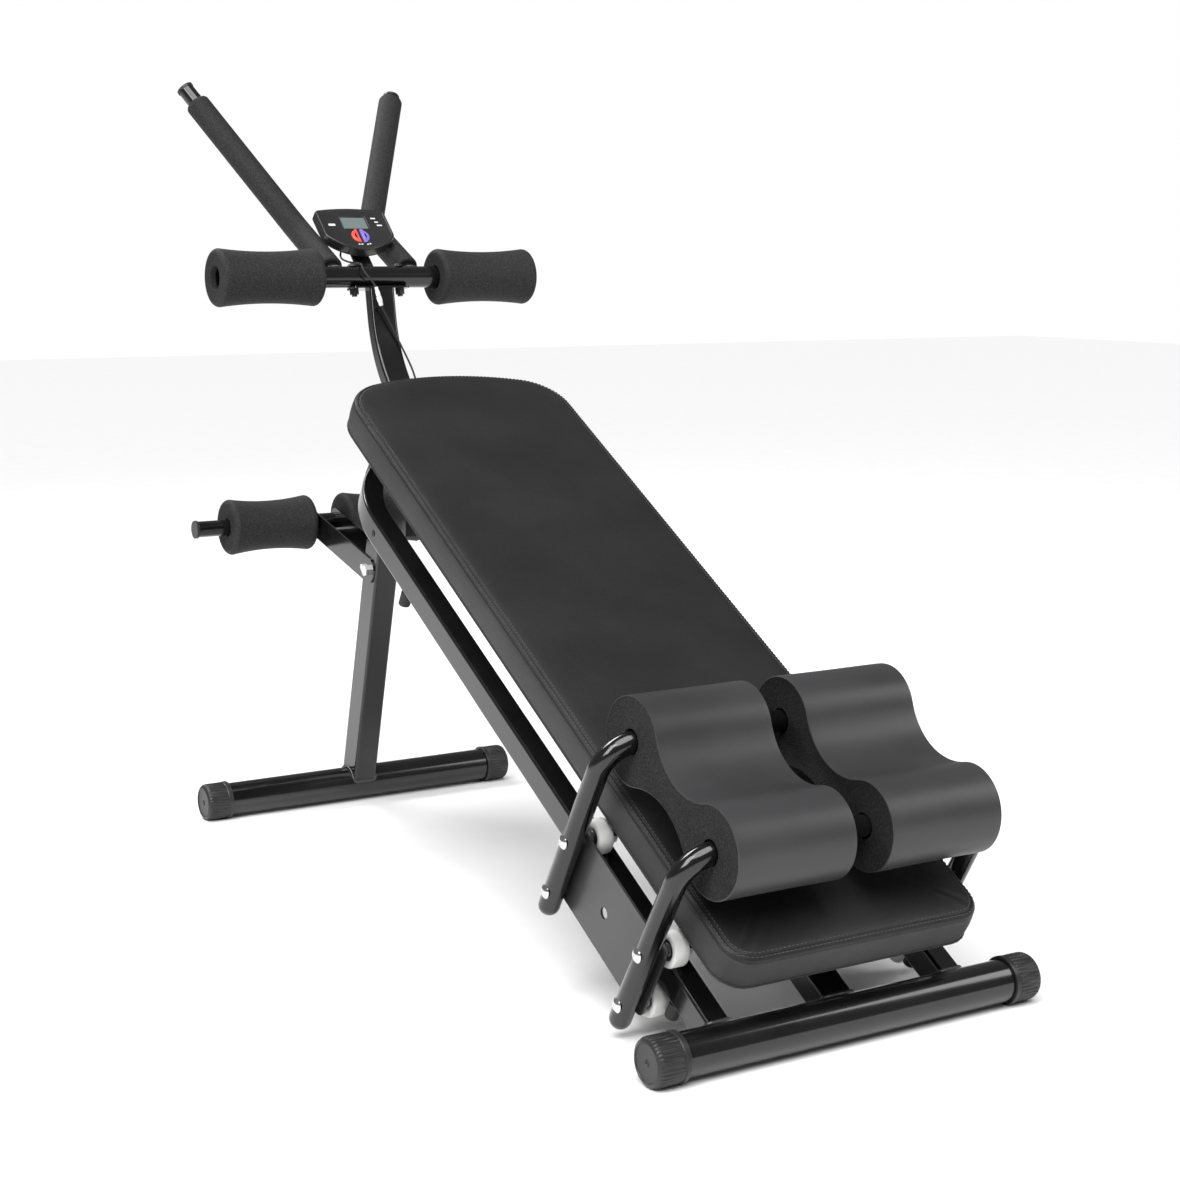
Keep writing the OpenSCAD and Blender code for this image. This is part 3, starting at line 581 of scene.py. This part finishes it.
# ---- foam rolls and grips ----
KNEE_ROLL = {"inner": 0.098, "length": 0.160, "end_r": 0.0435, "waist_r": 0.038, "bore": 0.01605}
ANKLE_ROLL = {"inner": 0.028, "length": 0.140, "end_r": 0.045, "waist_r": 0.0385, "bore": 0.01255}


def make_roll(name, center, side, inner, length, end_r, waist_r, bore):
    """A foam roll with a waist; it turns on the body of its own name."""
    sink = end_r - waist_r
    big = (length ** 2 / 4 + sink ** 2) / (2 * sink)
    half = length / 2
    soft = 0.007
    outer = []
    for i in range(33):
        a = -half + soft + (length - 2 * soft) * i / 32
        outer.append((a, waist_r + big - math.sqrt(big ** 2 - a ** 2) - 0.0004))
    shoulder = arc_points((half - soft, outer[-1][1] - soft), soft, 78, 0, 8)
    left = [(-a, r) for a, r in reversed(shoulder)]
    face = [(half - 0.0003, end_r - 0.014), (half - 0.0011, end_r - 0.02), (half - 0.001, bore + 0.002),
            (half - 0.003, bore + 0.0003)]
    profile = left + outer + shoulder
    ends = [(-a, r) for a, r in reversed(face)]
    place = Place(center + X * side * (inner + half), Y, Z, X)
    build = Builder("foam", "raw_foam")
    build.rings(turned(place, profile, 96), 0)
    build.rings(turned(place, [profile[-1]] + face, 96), 1)
    build.rings(turned(place, ends + [profile[0]], 96), 1)
    build.rings(turned(place, [face[-1], ends[0]], 96), 1)
    roll = build.make(name + "_foam", name, "foam", replaces=(name,), sharp=50)


def handle_path(side):
    root = Vector((side * 0.063, CROSS.y, CROSS.z))
    knee = Vector((side * 0.063, FOOT.y + 1.300, 0.896))
    tip = Vector((side * 0.177, FOOT.y + 1.450, 1.107))
    return rounded_path([root, knee, tip], 0.06)


BARE_TOP = {"left": 0.026, "right": 0.004}


def make_grip(side_name, side, bare_top):
    path = handle_path(side)
    total = lengths(path)[-1]
    start, end, r, bore = 0.026, total - bare_top, 0.019, 0.0127
    lip, low_round, top_round, count = 0.0004, 0.003, 0.006, 80
    straight = end - start - low_round - top_round
    stations = [(start + lip, bore), (start, r - low_round), (start + 0.001, r - 0.001),
                (start + low_round, r)]
    stations += [(start + low_round + straight * i / count, r) for i in range(1, count + 1)]
    stations += [(end - top_round + top_round * math.sin(t), r - top_round + top_round * math.cos(t))
                 for t in (math.pi / 2 * i / 6 for i in range(1, 7))]
    stations.append((end - lip, bore))
    stations += [(end - (end - start) * i / count, bore) for i in range(1, count)]
    build = Builder("foam")
    build.rings(swept(path, stations, 48), loop=True)
    grip = build.make("grip_foam_" + side_name, "frame", "foam", replaces=("grip_" + side_name,), sharp=60)


# ---- end caps ----
FRONT_HALF, REAR_HALF = 0.267, 0.262


def make_foot_caps(node, center, half):
    """Ribbed plastic cups over both ends of a foot tube, flat under the floor side."""
    cap_len, cap_r, flange_r = 0.04, 0.028, 0.0286
    profile = [(-cap_len, 0.0252), (-cap_len, flange_r - 0.0006), (-cap_len + 0.0008, flange_r),
               (-cap_len + 0.0052, flange_r), (-cap_len + 0.006, flange_r - 0.0012),
               (-cap_len + 0.0075, cap_r - 0.0012), (-cap_len + 0.009, cap_r), (-0.007, cap_r),
               (-0.005, cap_r - 0.0004),
               (-0.0022, cap_r - 0.0018), (-0.0004, cap_r - 0.0044), (0.0, cap_r - 0.0062),
               (-0.0012, cap_r - 0.0072), (-0.0016, 0.012), (-0.0016, 0.0042), (-0.003, 0.0032),
               (-0.0038, 0.0012), (-0.0038, 0.0001)]

    def ripple(along, k):
        ribbed = -cap_len + 0.0085 < along < -0.0045
        return -0.0011 if ribbed and k % 4 in (0, 1) else 0.0

    build = Builder("plastic")
    for side in (-1, 1):
        place = Place(center + X * side * half, Y, Z, X * side)
        rings = turned(place, profile, 144, ripple)
        for ring in rings:
            for v in ring:
                v.z = max(v.z, 0.0)
        build.rings(rings)
    build.make(node + "_ribbed", "frame" if node.startswith("front") else "rear_leg", "black_plastic",
               replaces=(node,), sharp=30)


# ---- rollers ----
def make_roller(side_name, side, level, under):
    node = f"roller_{level}_{side_name}_{'under' if under else 'top'}"
    low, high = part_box(node)
    center = (low + high) / 2
    r, half, seat = 0.021, 0.01, 0.013
    place = Place(center, Y, Z, X * side)
    tyre = [(-half, seat), (-half, r - 0.003), (-half + 0.0008, r - 0.001), (-half + 0.0026, r),
            (half - 0.0026, r), (half - 0.0008, r - 0.001), (half, r - 0.003), (half - 0.0002, seat + 0.0018),
            (half - 0.0012, seat)]
    build = Builder("nylon", "steel", "dark_steel")
    build.rings(turned(place, tyre, 72), 0, loop=True)
    race_out, race_in, hub_out, hub_in = 0.0128, 0.0108, 0.0078, 0.00502
    for face in (-1, 1):
        rim = face * (half - 0.002)
        outer_race = [(0, race_out), (rim, race_out), (rim + face * 0.0004, 0.0118), (rim, race_in)]
        shield = [(rim, race_in), (rim - face * 0.0006, 0.0104), (rim - face * 0.0006, 0.0082),
                  (rim, hub_out)]
        inner_race = [(rim, hub_out), (rim + face * 0.0005, 0.0072), (rim + face * 0.0005, 0.0056),
                      (rim, hub_in), (0, hub_in)]
        for profile, material in ((outer_race, 1), (shield, 2), (inner_race, 1)):
            build.rings(turned(place, profile, 48), material)
    build.make(node + "_wheel", node, "white_plastic", replaces=(node,), sharp=35)


# ---- console ----
def console_outline(distance, count=160):
    half, low, high, low_r, top_r = 0.058, -0.043, 0.045, 0.0714, 0.323
    side_low = low + low_r - math.sqrt(low_r ** 2 - half ** 2)
    side_high = high - top_r + math.sqrt(top_r ** 2 - half ** 2)
    angle = math.degrees(math.asin(half / low_r))
    top_angle = math.degrees(math.asin(half / top_r))
    loop = arc_points((0, low + low_r), low_r, -90 - angle, -90 + angle, 60)
    loop += [(half, side_low + (side_high - side_low) * k / 8) for k in range(1, 8)]
    loop += arc_points((0, high - top_r), top_r, 90 - top_angle, 90 + top_angle, 30)
    loop += [(-half, side_high + (side_low - side_high) * k / 8) for k in range(1, 8)]
    even = resampled(loop, count)
    for _ in range(3):
        even = [((even[i - 1][0] + 2 * p[0] + even[(i + 1) % count][0]) / 4,
                 (even[i - 1][1] + 2 * p[1] + even[(i + 1) % count][1]) / 4) for i, p in enumerate(even)]
    return inset(even, distance)


def rounded_rectangle(width, height, r, x=0.0, y=0.0):
    loop = []
    for cx, cy, start in ((1, -1, -90), (1, 1, 0), (-1, 1, 90), (-1, -1, 180)):
        center = (x + cx * (width / 2 - r), y + cy * (height / 2 - r))
        loop += arc_points(center, r, start, start + 90, 5)
    return loop


def half_disc(side, r, gap, y):
    loop = [(x, y + dy) for x, dy in arc_points((gap, 0), r - gap, -84, 84, 24)]
    return loop if side > 0 else [(-a, b) for a, b in reversed(loop)]


LENS_Y, BUTTON_Y, BUTTON_R, LID_SCALE = 0.0145, -0.0145, 0.0145, 0.68


def make_console():
    place = CONSOLE

    def ring(distance, z):
        return [place.at(x, y, z) for x, y in console_outline(distance)]

    def ring_of(loop, z):
        return [place.at(x, y, z) for x, y in loop]

    shell = Builder("satin")
    shell.rings([ring(d, z) for d, z in ((0.0006, -0.0124), (0.0, -0.0121), (0.0, -0.001), (0.0003, 0.0004),
                                         (0.001, 0.0012), (0.002, 0.0015), (0.0034, 0.0015), (0.0044, 0.001),
                                         (0.0048, 0.0002), (0.006, 0.0))])
    window = rounded_rectangle(0.0412, 0.0252, 0.0014, 0, LENS_Y)
    discs = [half_disc(side, BUTTON_R + 0.0004, 0.0004, BUTTON_Y) for side in (-1, 1)]
    shell.put(*holed_face(ring(0.006, 0.0), [ring_of(window, 0.0)] + [ring_of(d, 0.0) for d in discs]))
    for loop, depth in ((window, 0.0019), (discs[0], 0.0045), (discs[1], 0.0045)):
        shell.rings([ring_of(loop, 0.0), ring_of(inset(loop, 0.0003), -depth)])
        shell.cap(ring_of(inset(loop, 0.0003), -depth))
    bezel = rounded_rectangle(0.0452, 0.0292, 0.003, 0, LENS_Y)
    lip = ((0, 0.0001), (0.0003, 0.0007), (0.0009, 0.001), (0.0015, 0.0008), (0.0021, 0.0))
    shell.rings([ring_of(inset(bezel, d), z) for d, z in lip])
    shell.make("console_shell", "frame", "black_plastic", replaces=("console_housing",), sharp=35)
    back = Builder("plastic")
    rings = [ring(d, z) for d, z in ((0.0006, -0.0124), (0.0, -0.0128), (0.0, -0.0144), (0.0006, -0.015))]
    lid = [[place.at(x * LID_SCALE, y * LID_SCALE, z) for x, y in console_outline(d)]
           for d, z in ((-0.001, -0.015), (0.0, -0.0154), (0.0, -0.0208), (0.0012, -0.0217), (0.003, -0.022))]
    back.rings(rings + lid)
    back.cap(lid[-1])
    back.make("console_rear_cover", "frame", "black_plastic", replaces=("console_back",), sharp=35)
    lens = Builder("lcd")
    pane = rounded_rectangle(0.0404, 0.0244, 0.0012, 0, LENS_Y)
    rings = [ring_of(pane, -0.0018), ring_of(pane, -0.0008), ring_of(inset(pane, 0.0004), -0.0005)]
    lens.rings(rings)
    lens.cap(rings[-1])
    lens.make("console_display", "frame", "lcd", replaces=("console_lens",), sharp=35)
    make_marks()


def make_marks():
    """Plain white bars where a printed label would be, with no lettering."""
    bars = [(-0.039, 0.010, 0.011, 0.0042), (0.0345, 0.0245, 0.0082, 0.0026), (0.0375, 0.0165, 0.006, 0.0024),
            (0.0405, 0.0095, 0.0085, 0.0026), (-0.0075, -0.0315, 0.003, 0.0022),
            (-0.0028, -0.0315, 0.003, 0.0022), (0.0066, -0.0315, 0.003, 0.0022),
            (0.0108, -0.0305, 0.003, 0.0022)]
    corner, film = 0.0006, ((0, 0.00002), (0.0001, 0.00022))
    build = Builder("ink")
    for x, y, width, height in bars:
        loop = rounded_rectangle(width, height, corner, x, y)
        rings = [[CONSOLE.at(a, b, z) for a, b in inset(loop, d)] for d, z in film]
        build.rings(rings)
        build.cap(rings[-1])
    build.make("console_marks", "frame", "white_plastic")


def make_button(name, side, material):
    loop = half_disc(side, BUTTON_R, 0.0008, BUTTON_Y)
    build = Builder(material)
    crown = ((0, -0.0022), (0, 0.0006), (0.0004, 0.0014), (0.0014, 0.0019), (0.003, 0.002), (0.005, 0.00205))
    rings = [[CONSOLE.at(x, y, z) for x, y in inset(loop, d)] for d, z in crown]
    build.rings(rings)
    build.cap(rings[0])
    build.cap(rings[-1])
    build.make(name + "_cap", name, name.split("_")[1] + "_plastic", replaces=(name,), sharp=40)


# ---- counter lead ----
UPPER_ROUTE = [(-22, 1219.4, 867.4), (-23, 1224, 862.2), (-24.5, 1224.5, 855.5), (-26, 1218, 850.5),
               (-27, 1206, 847.5), (-27, 1190, 845), (-27, 1175, 844), (-26, 1155, 843), (-30, 1140, 841),
               (-31, 1130, 832), (-23, 1122, 819), (-17, 1119, 809)]
LOWER_ROUTE = [(-10, 1116, 781), (-1, 1116, 765), (7, 1114, 748), (14, 1110, 731), (20, 1102, 713),
               (26, 1090, 690), (28, 1070, 663), (32, 1029, 645), (42, 994, 627), (68, 961, 604),
               (120, 904, 569), (158, 868, 546), (180, 839, 528), (183, 815, 508), (181.5, 788, 484),
               (180.6, 747, 453), (180.9, 680, 415), (180.5, 609, 372.4), (180.8, 540, 333.8),
               (180.5, 470, 292.5), (180.8, 400, 252.8), (180.5, 332, 213), (180.5, 318, 205)]
LEAD_R = 0.0015


def route_points(route, steps=4):
    """The smooth line through the route's points, in metres."""
    spots = [Vector((x / 1000, FOOT.y + y / 1000, z / 1000)) for x, y, z in route]
    last = len(spots) - 1
    line = []
    for i in range(last):
        p0, p1, p2, p3 = spots[max(i - 1, 0)], spots[i], spots[i + 1], spots[min(i + 2, last)]
        for k in range(steps):
            t = k / steps
            line.append(0.5 * (2 * p1 + (p2 - p0) * t + (2 * p0 - 5 * p1 + 4 * p2 - p3) * t ** 2
                               + (3 * p1 - p0 - 3 * p2 + p3) * t ** 3))
    return line + [spots[last]]


def make_lead(name, route):
    line = route_points(route)
    total = lengths(line)
    stations = [(d, LEAD_R) for d in total]
    build = Builder("rubber")
    rings = swept(line, stations, 12)
    build.rings(rings)
    build.cap(rings[0])
    build.cap(rings[-1])
    lead = build.make(name + "_cable", "frame", "rubber", replaces=(name,), sharp=60)


def make_connector():
    start = Vector((-0.017, FOOT.y + 1.119, 0.809))
    end = Vector((-0.010, FOOT.y + 1.116, 0.781))
    span = (end - start).length
    path = [start, end]
    shape = [(0, 0.0016), (0, 0.0022), (0.001, 0.0026), (0.006, 0.0027), (0.0066, 0.0034), (0.0135, 0.0035),
             (0.0140, 0.0030), (0.0148, 0.0030), (0.0152, 0.0039), (0.0215, 0.004), (0.0222, 0.0034),
             (0.0262, 0.0033), (span - 0.0006, 0.0028), (span, 0.0022), (span, 0.0016)]
    build = Builder("nylon")
    build.rings(swept(path, shape, 28))
    build.make("connector_pair", "frame", "white_plastic", replaces=("lead_connector",), sharp=35)


# ---- welds and small marks ----
def make_weld(name, body, path, r=0.0026):
    """A rippled bead along a closed path."""
    pitch, swell, beat = 0.0011, 0.22, 2.1
    line = path + [path[0]]
    total = lengths(line)[-1]
    count = int(total / pitch)
    stations = [(total * i / count, r * (1 + swell * math.sin(i * beat))) for i in range(count + 1)]
    build = Builder("weld")
    rings = swept(line, stations, 10)
    build.rings(rings)
    build.cap(rings[0])
    build.cap(rings[-1])
    build.make(name, body, "frame_paint", sharp=80)


def make_welds():
    foot_r, handle_r, cross_r, post_tilt = 0.0252, 0.0127, 0.0162, 14.25
    for name, x, width, low, high in (("weld_left", -0.163, 0.030, -0.0235, 0.011),
                                      ("weld_right", 0.163, 0.030, -0.0235, 0.011),
                                      ("weld_middle", 0, 0.040, -0.022, 0.011)):
        outline = [(x + a, (low + high) / 2 + b) for a, b in rounded_rectangle(width, high - low, 0.004)]
        path = [SLOPE.at(a, math.sqrt(foot_r ** 2 - b ** 2) + 0.0008, b) for a, b in resampled(outline, 72)]
        make_weld(name, "frame", path)
    tilt = math.radians(post_tilt)
    up, across = Vector((0, -math.sin(tilt), math.cos(tilt))), Vector((0, math.cos(tilt), math.sin(tilt)))
    outline = resampled(rounded_rectangle(0.038, 0.045, 0.004), 72)
    path = [REAR_FOOT + X * a + across * b + up * (math.sqrt(max(foot_r ** 2 - b ** 2, 0)) + 0.0008)
            for a, b in outline]
    make_weld("weld_post", "rear_leg", path)
    for side_name, side in SIDES:
        line = handle_path(side)
        ahead = (line[1] - line[0]).normalized()
        u = ahead.cross(X).normalized()
        ring = []
        for k in range(48):
            t = math.tau * k / 48
            a, b = handle_r * math.cos(t), handle_r * math.sin(t)
            ring.append(line[0] + X * a + u * b + ahead * (math.sqrt(cross_r ** 2 - b ** 2) + 0.0006))
        make_weld("weld_handle_" + side_name, "frame", ring, r=0.002)


def make_plugs():
    """A small dark plug on the outside of each rail, below its bend."""
    plug_x, plug_s, plug_n = 0.178, 0.93, -0.007
    build = Builder("rubber")
    profile = [(-0.001, 0.0045), (0.0004, 0.0045), (0.0009, 0.0036), (0.0006, 0.0001)]
    for _, side in SIDES:
        place = Place(SLOPE.at(side * plug_x, plug_s, plug_n), SLOPE.y, SLOPE.z, X * side)
        build.rings(turned(place, profile, 32))
    build.make("rail_plugs", "frame", "rubber", sharp=35)


# ---- materials on the frame's own nodes ----
NODE_MATERIALS = {
    "paint": ("front_foot_tube", "left_rail", "right_rail", "center_tube", "rear_bracket", "pad_brackets",
              "neck", "saddle_plate", "cross_tube", "handle_left", "handle_right", "console_strap",
              "rear_post", "rear_foot_tube", "ankle_bracket", "ankle_axle", "bar_front", "bar_back"),
    "plate": ("side_plates",),
    "plastic": ("handle_caps", "ankle_caps", "reed_sensor", "sensor_magnet"),
    "chrome": ("hinge_bolt", "stop_bolt", "pad_screws", "ankle_bolts", "carriage_bolts"),
    "dark_steel": ("frame_bolts",),
    "steel": ("post_bush", "carriage_spacers"),
    "rubber": ("rail_stops",),
    "backing": ("pad_board",),
}


def finish_nodes():
    for material, names in NODE_MATERIALS.items():
        for name in names:
            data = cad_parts[name].data
            data.materials.clear()
            data.materials.append(MAT[material])
            data.polygons.foreach_set("use_smooth", [True] * len(data.polygons))
            data.set_sharp_from_angle(angle=math.radians(32))


make_studio()
make_lead("sensor_lead_upper", UPPER_ROUTE)
make_lead("sensor_lead_lower", LOWER_ROUTE)
make_connector()
finish_nodes()
make_pad()
for side_name, side in SIDES:
    make_wave(side_name, side)
    make_roll("knee_roll_" + side_name, CROSS, side, **KNEE_ROLL)
    make_roll("ankle_roll_" + side_name, AXLE, side, **ANKLE_ROLL)
    make_grip(side_name, side, BARE_TOP[side_name])
    for level in ("low", "high"):
        for under in (False, True):
            make_roller(side_name, side, level, under)
make_foot_caps("front_foot_caps", FOOT, FRONT_HALF)
make_foot_caps("rear_foot_caps", REAR_FOOT, REAR_HALF)
make_console()
make_button("button_red", -1, "red")
make_button("button_blue", 1, "blue")
make_welds()
make_plugs()
